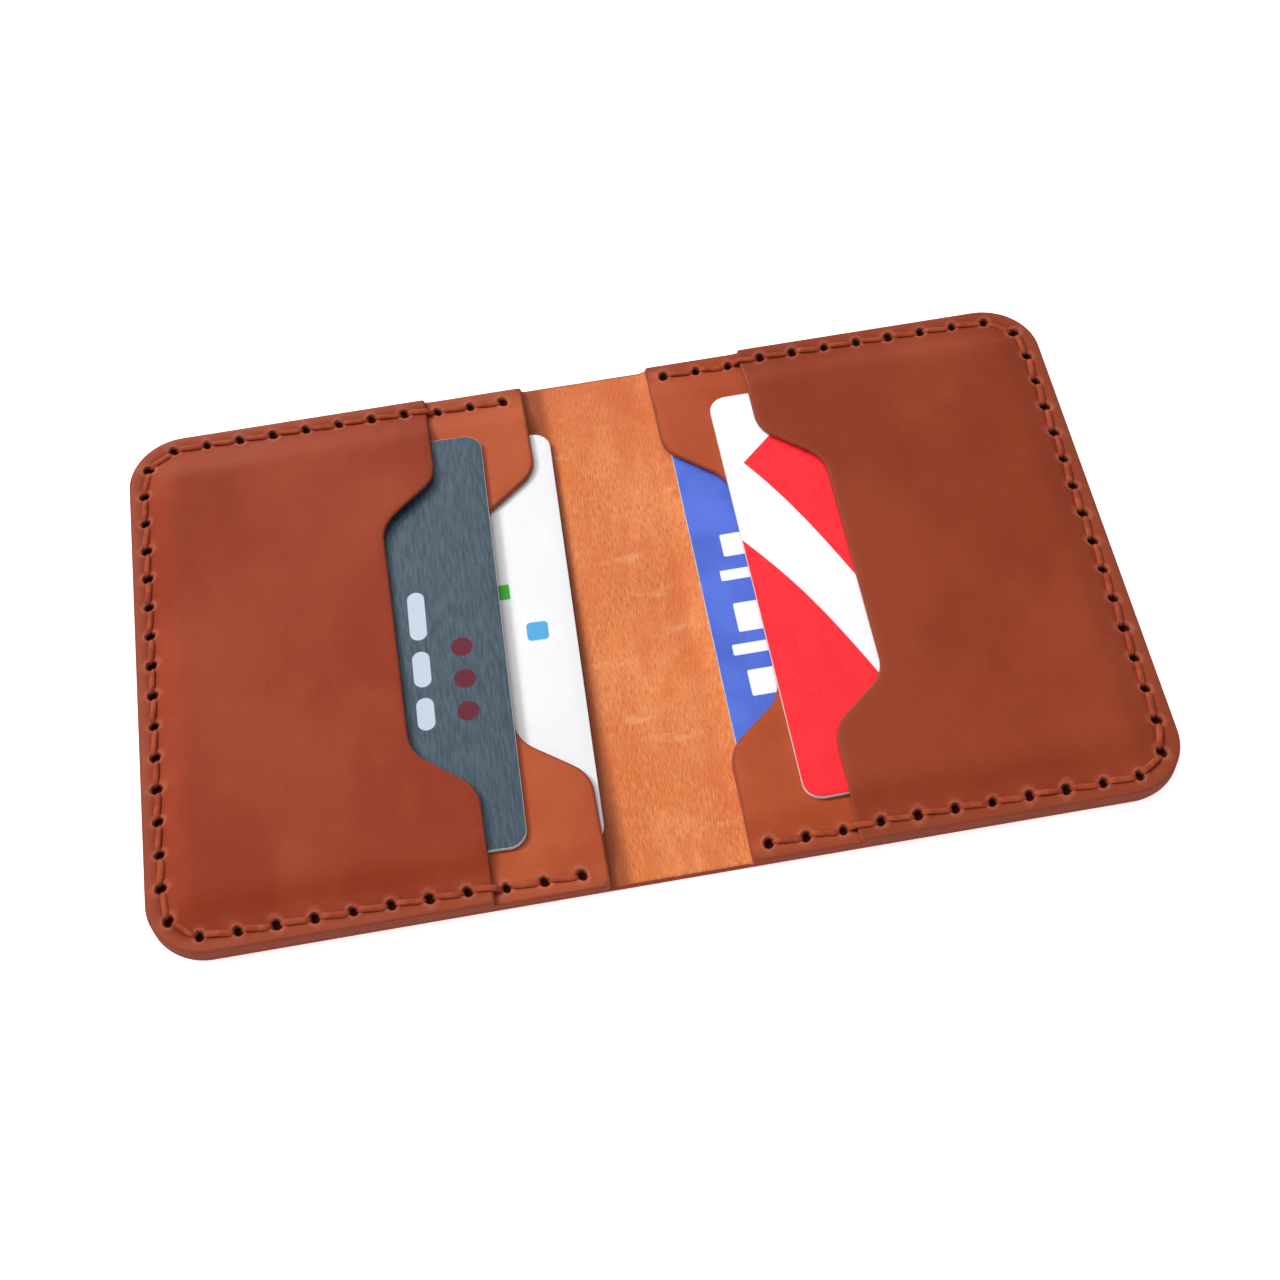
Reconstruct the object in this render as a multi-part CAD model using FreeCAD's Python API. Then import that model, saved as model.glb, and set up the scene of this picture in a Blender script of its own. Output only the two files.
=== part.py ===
"""Open bifold card holder: leather shell, four pocket panels, two saddle-stitch threads and four cards.

Millimetres, +Z up. The origin is on the surface that the holder lies on, below the middle of the spine.
+X runs from the left half to the right half, and the holder folds about lines parallel to Y.
The right half is modelled; the left half is its mirror image in the YZ plane, apart from the cards.
"""
import FreeCAD, Part
import math
import os

Vector = FreeCAD.Vector

# ---- Driving dimensions -------------------------------------------------------------------------
# Standard bank card.
CARD_LENGTH = 85.60
CARD_WIDTH = 53.98
CARD_THICKNESS = 0.76
CARD_CORNER = 3.18

# Leather blank, measured from the middle of the spine.
HALF_LENGTH = 85.7
HALF_WIDTH = 52.8
OUTER_CORNER = 10.3
SHELL_THICKNESS = 1.2
PANEL_THICKNESS = 1.0
EDGE_ROUNDING = 0.4

# Pocket mouths: distance from the spine's middle, and the thumb notch cut into each mouth.
LOWER_MOUTH = 12.1
UPPER_MOUTH = 29.8
NOTCH_DEPTH = 10.5
NOTCH_REACH = 35.5
NOTCH_RADIUS = 7.0
NOTCH_FLANK = math.radians(50)

# Seam: one row of holes along the three closed sides of each half.
SEAM_INSET = 2.85
SEAM_START = 15.34
HOLE_COUNT = 38
HOLE_RADIUS = 0.45
THREAD_RADIUS = 0.35
GROOVE_HALF_WIDTH = 0.42
BOTTOM_GROOVE_DEPTH = 0.74
TOP_GROOVE_DEPTH = 0.38

# Spine: when shut, each half has turned through 90 degrees, in two equal turns beside a middle strip.
FOLD_CLEARANCE = 0.8
STRIP_GAP = 0.04
TURN = math.radians(45)

# Pocket height: a panel rises from its stitched border to lie over a card.
CARD_LIFT = 0.04
SLOT_HEIGHT = CARD_THICKNESS + 0.10
RAMP_START = 3.7
RAMP_END = 5.2

# Cards: distance of the exposed long edge from the spine's middle, shift along Y, and skew in the pocket.
CARD_PLACES = {
    "card_left_lower": {"side": -1, "edge": 9.26, "shift": -0.86, "skew": -1.75, "level": 0},
    "card_left_upper": {"side": -1, "edge": 21.85, "shift": -0.26, "skew": -1.75, "level": 1},
    "card_right_lower": {"side": 1, "edge": 13.60, "shift": -0.50, "skew": 0.0, "level": 0},
    "card_right_upper": {"side": 1, "edge": 22.40, "shift": -1.29, "skew": 0.35, "level": 1},
}

# ---- Derived dimensions -------------------------------------------------------------------------
LOWER_FLANGE_TOP = SHELL_THICKNESS + PANEL_THICKNESS
UPPER_FLANGE_TOP = LOWER_FLANGE_TOP + PANEL_THICKNESS
LOWER_PANEL_TOP = LOWER_FLANGE_TOP + SLOT_HEIGHT
UPPER_PANEL_TOP = LOWER_PANEL_TOP + SLOT_HEIGHT + PANEL_THICKNESS
CARD_BOTTOMS = [SHELL_THICKNESS + CARD_LIFT, LOWER_PANEL_TOP + CARD_LIFT]

# When shut, the inner face of each cover stands this far from the middle of the spine. The inner face turns
# at one and at three units from the middle, and the strip between those lines, two units wide, is split
# at its own middle, so that one part goes with the middle strip and the other with the cover.
SHUT_REACH = UPPER_PANEL_TOP - SHELL_THICKNESS + FOLD_CLEARANCE / 2
SPINE_UNIT = SHUT_REACH / (1 + 2 * math.cos(TURN))
SPINE_LINES = [SPINE_UNIT * step for step in (-3, -2, -1, 1, 2, 3)]
FOLD_EDGE = SPINE_LINES[-1]

# A cover swings about a line above the split. Then the strips meet at the split both open and shut.
FOLD_AXIS_X = 2 * SPINE_UNIT
FOLD_AXIS_Z = SHELL_THICKNESS + SHUT_REACH - FOLD_AXIS_X

TALL = 3 * UPPER_PANEL_TOP


# ---- Outlines -----------------------------------------------------------------------------------
def line(a, b):
    return Part.LineSegment(Vector(*a, 0), Vector(*b, 0)).toShape()


def arc(centre, radius, start, end):
    """Arc about centre from angle start to angle end, in degrees."""
    points = []
    for angle in (start, (start + end) / 2, end):
        turn = math.radians(angle)
        x = centre[0] + radius * math.cos(turn)
        y = centre[1] + radius * math.sin(turn)
        points.append(Vector(x, y, 0))
    return Part.Arc(*points).toShape()


def closed_sides(inset, inner_x):
    """Edges of the three closed sides, moved in by inset, from the far end at inner_x round to the near end."""
    x = HALF_LENGTH - inset
    y = HALF_WIDTH - inset
    r = OUTER_CORNER - inset
    return [
        line((inner_x, -y), (x - r, -y)),
        arc((x - r, -y + r), r, -90, 0),
        line((x, -y + r), (x, y - r)),
        arc((x - r, y - r), r, 0, 90),
        line((x - r, y), (inner_x, y)),
    ]


def plain_outline(inset, inner_x):
    """Closed wire with a straight inner side."""
    y = HALF_WIDTH - inset
    return Part.Wire(closed_sides(inset, inner_x) + [line((inner_x, y), (inner_x, -y))])


def mouth_edges(mouth):
    """Pocket mouth with its thumb notch, from the +Y side to the -Y side."""
    rise = NOTCH_RADIUS * math.sin(NOTCH_FLANK)
    dip = NOTCH_RADIUS * (1 - math.cos(NOTCH_FLANK))
    flank = (NOTCH_DEPTH - 2 * dip) / math.tan(NOTCH_FLANK)
    turn = math.degrees(NOTCH_FLANK)
    floor_reach = NOTCH_REACH - 2 * rise - flank
    lip_x = mouth + NOTCH_RADIUS
    floor_x = mouth + NOTCH_DEPTH
    flank_out = (mouth + dip, NOTCH_REACH - rise)
    flank_in = (floor_x - dip, floor_reach + rise)
    return [
        line((mouth, HALF_WIDTH), (mouth, NOTCH_REACH)),
        arc((lip_x, NOTCH_REACH), NOTCH_RADIUS, 180, 180 + turn),
        line(flank_out, flank_in),
        arc((floor_x - NOTCH_RADIUS, floor_reach), NOTCH_RADIUS, turn, 0),
        line((floor_x, floor_reach), (floor_x, -floor_reach)),
        arc((floor_x - NOTCH_RADIUS, -floor_reach), NOTCH_RADIUS, 0, -turn),
        line((flank_in[0], -flank_in[1]), (flank_out[0], -flank_out[1])),
        arc((lip_x, -NOTCH_REACH), NOTCH_RADIUS, 180 - turn, 180),
        line((mouth, -NOTCH_REACH), (mouth, -HALF_WIDTH)),
    ]


def prism(wire, low, high):
    solid = Part.Face(wire).extrude(Vector(0, 0, high - low))
    solid.translate(Vector(0, 0, low))
    return solid


def mirrored(shape):
    return shape.mirror(Vector(0, 0, 0), Vector(1, 0, 0))


# ---- Seam ---------------------------------------------------------------------------------------
def seam_points():
    """Hole centres, evenly spaced along the seam, from its -Y end round to its +Y end."""
    path = Part.Wire(closed_sides(SEAM_INSET, SEAM_START))
    return path.discretize(Number=HOLE_COUNT)


def seam_holes():
    holes = []
    for point in seam_points():
        base = Vector(point.x, point.y, -1)
        holes.append(Part.makeCylinder(HOLE_RADIUS, TALL, base))
    return Part.makeCompound(holes)


def seam_groove(inner_x, low, high):
    """U-shaped channel along the seam between two heights, starting at inner_x."""
    outside = prism(plain_outline(SEAM_INSET - GROOVE_HALF_WIDTH, inner_x), low, high)
    inside = prism(plain_outline(SEAM_INSET + GROOVE_HALF_WIDTH, inner_x - 1), low, high)
    return outside.cut(inside)


# ---- Leather ------------------------------------------------------------------------------------
def edges_at(shape, height, inset=0.0):
    """Edges of the three closed sides that lie at one height."""
    found = []
    for edge in shape.Edges:
        box = edge.BoundBox
        if abs(box.ZMin - height) > 1e-6 or abs(box.ZMax - height) > 1e-6:
            continue
        middle = edge.valueAt((edge.FirstParameter + edge.LastParameter) / 2)
        past_corner = abs(middle.y) > HALF_WIDTH - OUTER_CORNER and middle.x > HALF_LENGTH - OUTER_CORNER
        on_side = abs(abs(middle.y) - HALF_WIDTH) < 1e-6 or abs(middle.x - HALF_LENGTH) < 1e-6
        corner = Vector(HALF_LENGTH - OUTER_CORNER, math.copysign(HALF_WIDTH - OUTER_CORNER, middle.y), height)
        on_arc = past_corner and abs((middle - corner).Length - OUTER_CORNER) < 1e-6
        if on_side or on_arc:
            found.append(edge)
    return found


def cover():
    """One half of the outer shell, from the fold to the outer edge."""
    blank = prism(plain_outline(0, FOLD_EDGE + STRIP_GAP / 2), 0, SHELL_THICKNESS)
    blank = blank.makeFillet(EDGE_ROUNDING, edges_at(blank, 0))
    reach = SEAM_START - HOLE_RADIUS
    return blank.cut([seam_groove(reach, -1, BOTTOM_GROOVE_DEPTH), seam_holes()])


def spine_strip(index):
    """One strip of the shell across the spine, counted from the left."""
    left = SPINE_LINES[index] + STRIP_GAP / 2
    width = SPINE_LINES[index + 1] - STRIP_GAP / 2 - left
    blank = Part.makeBox(width, 2 * HALF_WIDTH, SHELL_THICKNESS, Vector(left, -HALF_WIDTH, 0))
    low = [e for e in blank.Edges if e.BoundBox.ZMax < 1e-6 and e.BoundBox.YLength < 1e-6]
    return blank.makeFillet(EDGE_ROUNDING, low)


def bulge(mouth, base, rise):
    """Space over a card: from the ramp's foot at base up to a flat top, open past the mouth."""
    low = plain_outline(RAMP_START, mouth - 1)
    high = plain_outline(RAMP_END, mouth - 1)
    low.translate(Vector(0, 0, base))
    high.translate(Vector(0, 0, base + rise))
    return Part.makeLoft([low, high], True, True)


def pocket_panel(mouth, base, rise):
    """Panel that lies on base along its stitched sides and rises over the cards in the middle."""
    outline = Part.Wire(closed_sides(0, mouth) + mouth_edges(mouth))
    flange_top = base + PANEL_THICKNESS
    flat = prism(outline, base, flange_top)
    if flange_top == UPPER_FLANGE_TOP:
        flat = flat.makeFillet(EDGE_ROUNDING, edges_at(flat, flange_top))
    raised = bulge(mouth, flange_top, rise).common(prism(outline, flange_top, TALL))
    return flat.fuse(raised).cut(bulge(mouth, base, rise)).removeSplitter()


def lower_pocket():
    panel = pocket_panel(LOWER_MOUTH, SHELL_THICKNESS, SLOT_HEIGHT)
    reach = SEAM_START - HOLE_RADIUS
    groove = seam_groove(reach, LOWER_FLANGE_TOP - TOP_GROOVE_DEPTH, TALL)
    exposed = Part.makeBox(UPPER_MOUTH, 2 * HALF_WIDTH, TALL, Vector(0, -HALF_WIDTH, 0))
    return panel.cut([groove.common(exposed), seam_holes()])


def upper_pocket():
    panel = pocket_panel(UPPER_MOUTH, LOWER_FLANGE_TOP, 2 * SLOT_HEIGHT)
    groove = seam_groove(UPPER_MOUTH - 1, UPPER_FLANGE_TOP - TOP_GROOVE_DEPTH, TALL)
    return panel.cut([groove, seam_holes()])


# ---- Thread -------------------------------------------------------------------------------------
def round_bar(points):
    """Round thread through a few points, with a ball at each one."""
    pieces = [Part.makeSphere(THREAD_RADIUS, point) for point in points]
    for start, end in zip(points, points[1:]):
        run = end - start
        pieces.append(Part.makeCylinder(THREAD_RADIUS, run.Length, start, run))
    return pieces


def seam_run(inner_x, height):
    """Round thread along the seam's arcs and straights at one height."""
    path = Part.Wire(closed_sides(SEAM_INSET, inner_x))
    path.translate(Vector(0, 0, height))
    start = Vector(inner_x, -HALF_WIDTH + SEAM_INSET, height)
    section = Part.Wire(Part.Circle(start, Vector(1, 0, 0), THREAD_RADIUS).toShape())
    return path.makePipeShell([section], True, False)


def thread():
    """Both runs of the saddle stitch with the lengths through the holes, as one solid."""
    below = THREAD_RADIUS + 0.01
    step = UPPER_MOUTH - 0.4
    pieces = [seam_run(SEAM_START, below), seam_run(step, UPPER_FLANGE_TOP)]
    for side in (-1, 1):
        y = side * (HALF_WIDTH - SEAM_INSET)
        knees = [
            Vector(SEAM_START, y, LOWER_FLANGE_TOP),
            Vector(step - PANEL_THICKNESS, y, LOWER_FLANGE_TOP),
            Vector(step, y, UPPER_FLANGE_TOP),
        ]
        pieces += round_bar(knees)
    for point in seam_points():
        top = LOWER_FLANGE_TOP if point.x < UPPER_MOUTH else UPPER_FLANGE_TOP
        base = Vector(point.x, point.y, below)
        pieces.append(Part.makeCylinder(THREAD_RADIUS, top - below, base))
    return pieces[0].fuse(pieces[1:]).removeSplitter()


# ---- Cards --------------------------------------------------------------------------------------
def card(side, edge, shift, skew, level):
    """Round-cornered card whose long edge lies along Y, turned by its skew about its own centre."""
    x = CARD_WIDTH / 2
    y = CARD_LENGTH / 2
    r = CARD_CORNER
    outline = Part.Wire([
        line((-x + r, -y), (x - r, -y)),
        arc((x - r, -y + r), r, -90, 0),
        line((x, -y + r), (x, y - r)),
        arc((x - r, y - r), r, 0, 90),
        line((x - r, y), (-x + r, y)),
        arc((-x + r, y - r), r, 90, 180),
        line((-x, y - r), (-x, -y + r)),
        arc((-x + r, -y + r), r, 180, 270),
    ])
    blank = prism(outline, 0, CARD_THICKNESS)
    blank.rotate(Vector(0, 0, 0), Vector(0, 0, 1), skew)
    blank.translate(Vector(side * (edge + x), shift, CARD_BOTTOMS[level]))
    return blank


# ---- Model --------------------------------------------------------------------------------------
def model():
    """Every node of the card holder, by name."""
    nodes = {}
    right_half = {
        "cover": cover(),
        "lower_pocket": lower_pocket(),
        "upper_pocket": upper_pocket(),
        "thread": thread(),
    }
    for name, shape in right_half.items():
        nodes[name + "_right"] = shape
        nodes[name + "_left"] = mirrored(shape)
    for index in range(len(SPINE_LINES) - 1):
        nodes[f"spine_strip_{index + 1}"] = spine_strip(index)
    for name, place in CARD_PLACES.items():
        nodes[name] = card(**place)
    return nodes


def main():
    os.makedirs("parts", exist_ok=True)
    for name, shape in sorted(model().items()):
        solids = shape.Solids
        if len(solids) != 1 or not shape.isValid():
            raise ValueError(f"{name}: {len(solids)} solids, valid {shape.isValid()}")
        solids[0].exportStep(f"parts/{name}.step")
        print(f"{name}: {solids[0].Volume:.1f} mm3")
    print(f"spine unit {SPINE_UNIT:.5f}, fold axis at x {FOLD_AXIS_X:.5f}, z {FOLD_AXIS_Z:.5f}")


main()
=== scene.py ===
"""Looks of the open bifold card holder: hand-stitched leather, four cards, a pale floor and soft light.

Lengths in this file are millimetres, and MM turns them into Blender's metres. The frame is the CAD model's:
+Z up, origin on the floor below the middle of the spine, +X across the open holder and +Y along the fold.
Each leather piece is worked out for the right half, and side -1 mirrors it to the left.
"""
import math
import random

import bmesh
import bpy
import numpy as np
from mathutils import Matrix, Vector, kdtree
from mathutils.geometry import delaunay_2d_cdt


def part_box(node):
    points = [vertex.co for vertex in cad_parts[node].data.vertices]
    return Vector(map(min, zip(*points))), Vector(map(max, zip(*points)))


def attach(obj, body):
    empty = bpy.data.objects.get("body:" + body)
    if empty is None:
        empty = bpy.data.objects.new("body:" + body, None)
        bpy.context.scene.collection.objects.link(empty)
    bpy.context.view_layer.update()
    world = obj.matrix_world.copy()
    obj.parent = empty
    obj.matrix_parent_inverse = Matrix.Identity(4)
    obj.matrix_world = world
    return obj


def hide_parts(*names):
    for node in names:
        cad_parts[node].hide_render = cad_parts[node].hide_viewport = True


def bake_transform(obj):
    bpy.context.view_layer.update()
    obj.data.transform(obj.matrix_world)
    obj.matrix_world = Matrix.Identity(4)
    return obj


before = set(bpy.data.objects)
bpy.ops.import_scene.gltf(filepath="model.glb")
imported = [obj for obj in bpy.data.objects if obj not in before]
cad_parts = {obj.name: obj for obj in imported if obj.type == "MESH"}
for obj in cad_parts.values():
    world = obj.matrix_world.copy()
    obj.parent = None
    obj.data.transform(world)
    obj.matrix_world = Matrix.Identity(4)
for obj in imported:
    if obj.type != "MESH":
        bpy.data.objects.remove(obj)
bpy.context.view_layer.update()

MM = 0.001
SIDES = {"left": -1, "right": 1}

# ---- Sizes from the frame -----------------------------------------------------------------------


def box_mm(node):
    low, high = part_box(node)
    return low / MM, high / MM


cover_high = box_mm("cover_right")[1]
lower_low, lower_high = box_mm("lower_pocket_right")
upper_low = box_mm("upper_pocket_right")[0]
white_low, white_high = box_mm("card_left_lower")

HALF_LENGTH = cover_high.x
HALF_WIDTH = cover_high.y
LOWER_MOUTH = lower_low.x
UPPER_MOUTH = upper_low.x
SHELL_TOP = lower_low.z
CARD_THICKNESS = white_high.z - white_low.z
PANEL_THICKNESS = upper_low.z - lower_low.z
SLOT_HEIGHT = lower_high.z - SHELL_TOP - PANEL_THICKNESS

# ---- Shape constants, the same as in the CAD source ---------------------------------------------
CARD_LENGTH, CARD_WIDTH, CARD_CORNER = 85.60, 53.98, 3.18
CARD_SKEWS = {
    "card_left_lower": -1.75,
    "card_left_upper": -1.75,
    "card_right_lower": 0.0,
    "card_right_upper": 0.35,
}
OUTER_CORNER = 10.3
NOTCH_DEPTH, NOTCH_REACH, NOTCH_RADIUS = 10.5, 35.5, 7.0
NOTCH_FLANK = 50
SEAM_INSET, SEAM_START, HOLE_COUNT = 2.85, 15.34, 38

# ---- Fine shape ---------------------------------------------------------------------------------
MOUTH_CORNER = 0.6
MOUTH_PULL_FAR, MOUTH_PULL_NEAR, MOUTH_PULL_REACH = 0.5, 1.1, 14.0
SPINE_DIP, SPINE_WAVES, SPINE_WAVE_SCALE = 0.22, 0.16, 5.5

# The gape of the left upper pocket, and how loosely both upper pockets lie over their cards.
GAPE_FACE, GAPE_UNDER, GAPE_WIDTH = 0.70, 1.22, 9.0
GAPE_PAST_MOUTH, GAPE_INSIDE_NOTCH = 6, 8
LOOSE_WAVES, LOOSE_WAVE_SCALE = 0.10, 17
LOOSE_MOUTH, LOOSE_MOUTH_WIDTH = 0.08, 22

# Radii of the edges, and the length over which they change beside a mouth.
RIM_ROUND, MOUTH_ROUND, JOINT_ROUND, UNDER_ROUND = 0.4, 0.34, 0.10, 0.22
ROUND_CHANGE, ROUND_RINGS = 0.8, 4

# Distances from the rim between which a pocket rises from its stitched border over the cards.
RAMP_START, RAMP_END, RAMP_END_SIDE = 3.4, 5.2, 9.0
FACE_START, FACE_END, FACE_END_SIDE, THINNEST = 2.4, 8.8, 11.0, 0.14

# The stitched line. The holes' slant is in degrees, and a lip's place and width are in sizes of its hole.
GROOVE_DEPTH, GROOVE_WIDTH, GROOVE_LEAD = 0.20, 0.9, 1.6
UNDER_GROOVE_DEPTH, UNDER_GROOVE_WIDTH, UNDER_PIT_DEPTH = 0.55, 0.75, 0.35
PIT_DEPTH, PIT_LENGTH, PIT_WIDTH, PIT_WINDOW = 0.70, 0.92, 0.71, 2.5
PIT_SLANT, PIT_SLANT_SPREAD, PIT_SIZE_SPREAD = 25, 9, 0.10
LIP_HEIGHT, LIP_PLACE, LIP_WIDTH = 0.19, 1.40, 0.40
# The second and third numbers set the strength and width of the painted shade line along the seam.
EDGE_FADE, SEAM_SHADE, SEAM_SHADE_WIDTH, BORDER_START = 0.9, 0.30, 0.85, 0.6

# The thread. A stitch lies THREAD_LIFT above its groove, and its ends dive by THREAD_DIVE into the holes.
THREAD_HALF_WIDTH, THREAD_HALF_HEIGHT, THREAD_UNDER_HALF_HEIGHT = 0.60, 0.36, 0.32
THREAD_PLIES, THREAD_LAY, THREAD_END = 3, 3.4, 0.46
THREAD_LIFT, THREAD_DIVE, THREAD_DIVE_POWER = 0.20, 1.25, 7
THREAD_UNDER_LIFT, THREAD_UNDER_DIVE = 0.37, 0.6
THREAD_SLANTS, THREAD_SIZES, THREAD_BOW = (0.20, 0.38), (0.92, 1.08), 0.10

# The cards' edges, and how many points each of their corners has.
CARD_EDGE_ROUND, CARD_CORNER_POINTS = 0.07, 13

# Mesh spacing: (radius, count) of the rings of points round a stitch hole, then the rows along the seam and
# the ramp, and the columns along the bend.
PIT_RINGS = ((0.0, 1), (0.22, 6), (0.42, 10), (0.62, 14), (0.85, 14), (1.15, 14))
SEAM_ROWS_OUT, SEAM_ROWS_IN, SEAM_ROWS_LEAD, SEAM_ROW_GAP, SEAM_ROW_STEP = 1.6, 1.9, 1.5, 0.4, 0.6
RAMP_ROW_GAP, RAMP_ROW_STEP = 0.45, 1.6
BEND_START, BEND_STEP, BEND_MARGIN, BEND_POINTS = 0.45, 0.7, 0.9, 64


# ---- Plane outlines -----------------------------------------------------------------------------
def straight_points(a, b, step=0.8):
    """Points from a towards b, without b."""
    count = max(1, round(math.dist(a, b) / step))
    return [tuple(p) for p in np.linspace(a, b, count, endpoint=False)]


def arc_points(centre, radius, start, end, step=0.5):
    """Points along an arc between two angles in degrees, without the last one."""
    count = max(4, math.ceil(abs(math.radians(end - start)) * radius / step))
    angles = np.radians(np.linspace(start, end, count, endpoint=False))
    return [(centre[0] + radius * math.cos(a), centre[1] + radius * math.sin(a)) for a in angles]


def closed_sides(inset, inner_x, step=0.8):
    """The three closed sides moved in by inset, from the near end at inner_x round to the far end."""
    x, y, r = HALF_LENGTH - inset, HALF_WIDTH - inset, OUTER_CORNER - inset
    points = straight_points((inner_x, -y), (x - r, -y), step)
    points += arc_points((x - r, -y + r), r, -90, 0, min(step, 0.5))
    points += straight_points((x, -y + r), (x, y - r), step)
    points += arc_points((x - r, y - r), r, 0, 90, min(step, 0.5))
    return points + straight_points((x - r, y), (inner_x, y), step)


def panel_outline(mouth):
    """Closed outline of a pocket panel, anticlockwise, with its thumb notch."""
    turn = math.radians(NOTCH_FLANK)
    rise, dip = NOTCH_RADIUS * math.sin(turn), NOTCH_RADIUS * (1 - math.cos(turn))
    flank = (NOTCH_DEPTH - 2 * dip) / math.tan(turn)
    floor_reach = NOTCH_REACH - 2 * rise - flank
    lip, floor, c = mouth + NOTCH_RADIUS, mouth + NOTCH_DEPTH, MOUTH_CORNER
    inner = floor - NOTCH_RADIUS
    points = closed_sides(0, mouth + c)
    points += arc_points((mouth + c, HALF_WIDTH - c), c, 90, 180)
    points += straight_points((mouth, HALF_WIDTH - c), (mouth, NOTCH_REACH))
    points += arc_points((lip, NOTCH_REACH), NOTCH_RADIUS, 180, 180 + NOTCH_FLANK)
    points += straight_points((mouth + dip, NOTCH_REACH - rise), (floor - dip, floor_reach + rise))
    points += arc_points((inner, floor_reach), NOTCH_RADIUS, NOTCH_FLANK, 0)
    points += straight_points((floor, floor_reach), (floor, -floor_reach))
    points += arc_points((inner, -floor_reach), NOTCH_RADIUS, 0, -NOTCH_FLANK)
    points += straight_points((floor - dip, -floor_reach - rise), (mouth + dip, rise - NOTCH_REACH))
    points += arc_points((lip, -NOTCH_REACH), NOTCH_RADIUS, 180 - NOTCH_FLANK, 180)
    points += straight_points((mouth, -NOTCH_REACH), (mouth, c - HALF_WIDTH))
    return np.array(points + arc_points((mouth + c, c - HALF_WIDTH), c, 180, 270))


def shell_outline():
    """Closed outline of half the shell, anticlockwise, cut straight along the middle of the spine."""
    return np.array(closed_sides(0, 0.0) + straight_points((0.0, HALF_WIDTH), (0.0, -HALF_WIDTH)))


def pulled(points):
    """The left lower pocket's points, with its mouth eased towards the spine, most at the near end."""
    x, y = points[:, 0], points[:, 1]
    near = smooth(-y, -HALF_WIDTH, HALF_WIDTH)
    pull = MOUTH_PULL_FAR + (MOUTH_PULL_NEAR - MOUTH_PULL_FAR) * near
    share = 1 - smooth(x, LOWER_MOUTH, LOWER_MOUTH + MOUTH_PULL_REACH)
    return np.column_stack((x - pull * share, y))


def inward_normals(outline):
    along = np.roll(outline, -1, 0) - np.roll(outline, 1, 0)
    normals = np.column_stack((-along[:, 1], along[:, 0]))
    return normals / np.linalg.norm(normals, axis=1)[:, None]


def even_points(points, count):
    """count points evenly spaced along an open line."""
    points = np.array(points)
    run = np.concatenate(([0], np.cumsum(np.linalg.norm(np.diff(points, axis=0), axis=1))))
    places = np.linspace(0, run[-1], count)
    return np.column_stack([np.interp(places, run, points[:, i]) for i in (0, 1)])


seam_line = closed_sides(SEAM_INSET, SEAM_START, 0.2) + [(SEAM_START, HALF_WIDTH - SEAM_INSET)]
holes = even_points(seam_line, HOLE_COUNT)
hole_tangents = np.gradient(holes, axis=0)
hole_tangents /= np.linalg.norm(hole_tangents, axis=1)[:, None]


# ---- Heights ------------------------------------------------------------------------------------
def smooth(value, start, end):
    t = np.clip((value - start) / (end - start), 0, 1)
    return t * t * (3 - 2 * t)


def bell(value, width):
    return np.exp(-(value / width) ** 2)


def rim_inset(x, y):
    """How far a point lies inside the rounded rim."""
    across = x - (HALF_LENGTH - OUTER_CORNER)
    along = np.abs(y) - (HALF_WIDTH - OUTER_CORNER)
    outside = np.hypot(np.maximum(across, 0), np.maximum(along, 0))
    return OUTER_CORNER - outside - np.minimum(np.maximum(across, along), 0)


def card_rise(x, y, start=RAMP_START, end=RAMP_END, end_side=RAMP_END_SIDE):
    """0 on the stitched border and 1 over a card."""
    return smooth(rim_inset(x, y), start, end) * smooth(HALF_WIDTH - np.abs(y), start, end_side)


def face_rise(x, y):
    """The same for the upper pockets' faces, which rise more slowly from the rim than their undersides."""
    return card_rise(x, y, FACE_START, FACE_END, FACE_END_SIDE)


def waves(x, y, side, scale):
    """Slow unevenness between 0 and 1, carried on smoothly from one half to the other."""
    u, v = side * x / scale, y / scale
    total = np.sin(u + 0.7 * v) + np.sin(1.7 * v - 0.9 * u + 1.3) + np.sin(2.3 * u + 1.1 * v + 4.1)
    return 0.5 + total / 6


def pits(x, y):
    """The pit, 1 at the middle of a stitch hole and 0 away from it, and the lip round it.

    Each hole is a slanted slit, and no two are quite the same.
    """
    pit = np.zeros_like(x)
    lip = np.zeros_like(x)
    for i, ((hx, hy), (tx, ty)) in enumerate(zip(holes, hole_tangents)):
        turn = math.radians(PIT_SLANT + PIT_SLANT_SPREAD * math.sin(2.4 * i))
        size = 1 + PIT_SIZE_SPREAD * math.sin(1.7 * i + 1)
        near = (np.abs(x - hx) < PIT_WINDOW) & (np.abs(y - hy) < PIT_WINDOW)
        along = (x[near] - hx) * tx + (y[near] - hy) * ty
        across = (y[near] - hy) * tx - (x[near] - hx) * ty
        u = across * math.cos(turn) + along * math.sin(turn)
        v = along * math.cos(turn) - across * math.sin(turn)
        reach = np.hypot(u / PIT_LENGTH, v / PIT_WIDTH) / size
        pit[near] = np.maximum(pit[near], np.exp(-reach ** 4))
        lip[near] = np.maximum(lip[near], bell(reach - LIP_PLACE, LIP_WIDTH))
    return pit, lip


def seam_band(x, y, width):
    """1 on the stitched line, falling to 0 beside it over about this width."""
    return bell(rim_inset(x, y) - SEAM_INSET, width)


def seam_dip(x, y):
    """How far the stitched line is pulled down, with a pit at each hole and a low lip round it."""
    pit, lip = pits(x, y)
    groove = GROOVE_DEPTH * seam_band(x, y, GROOVE_WIDTH) * smooth(x, SEAM_START - GROOVE_LEAD, SEAM_START)
    return groove + PIT_DEPTH * pit - LIP_HEIGHT * lip


def seam_shade(x, y):
    """Painted shade: a faint dark line along the seam where the thread lies in its groove, away from its open
    ends.
    """
    return SEAM_SHADE * seam_band(x, y, SEAM_SHADE_WIDTH) * smooth(x, SEAM_START - 0.3, SEAM_START + 0.5)


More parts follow.
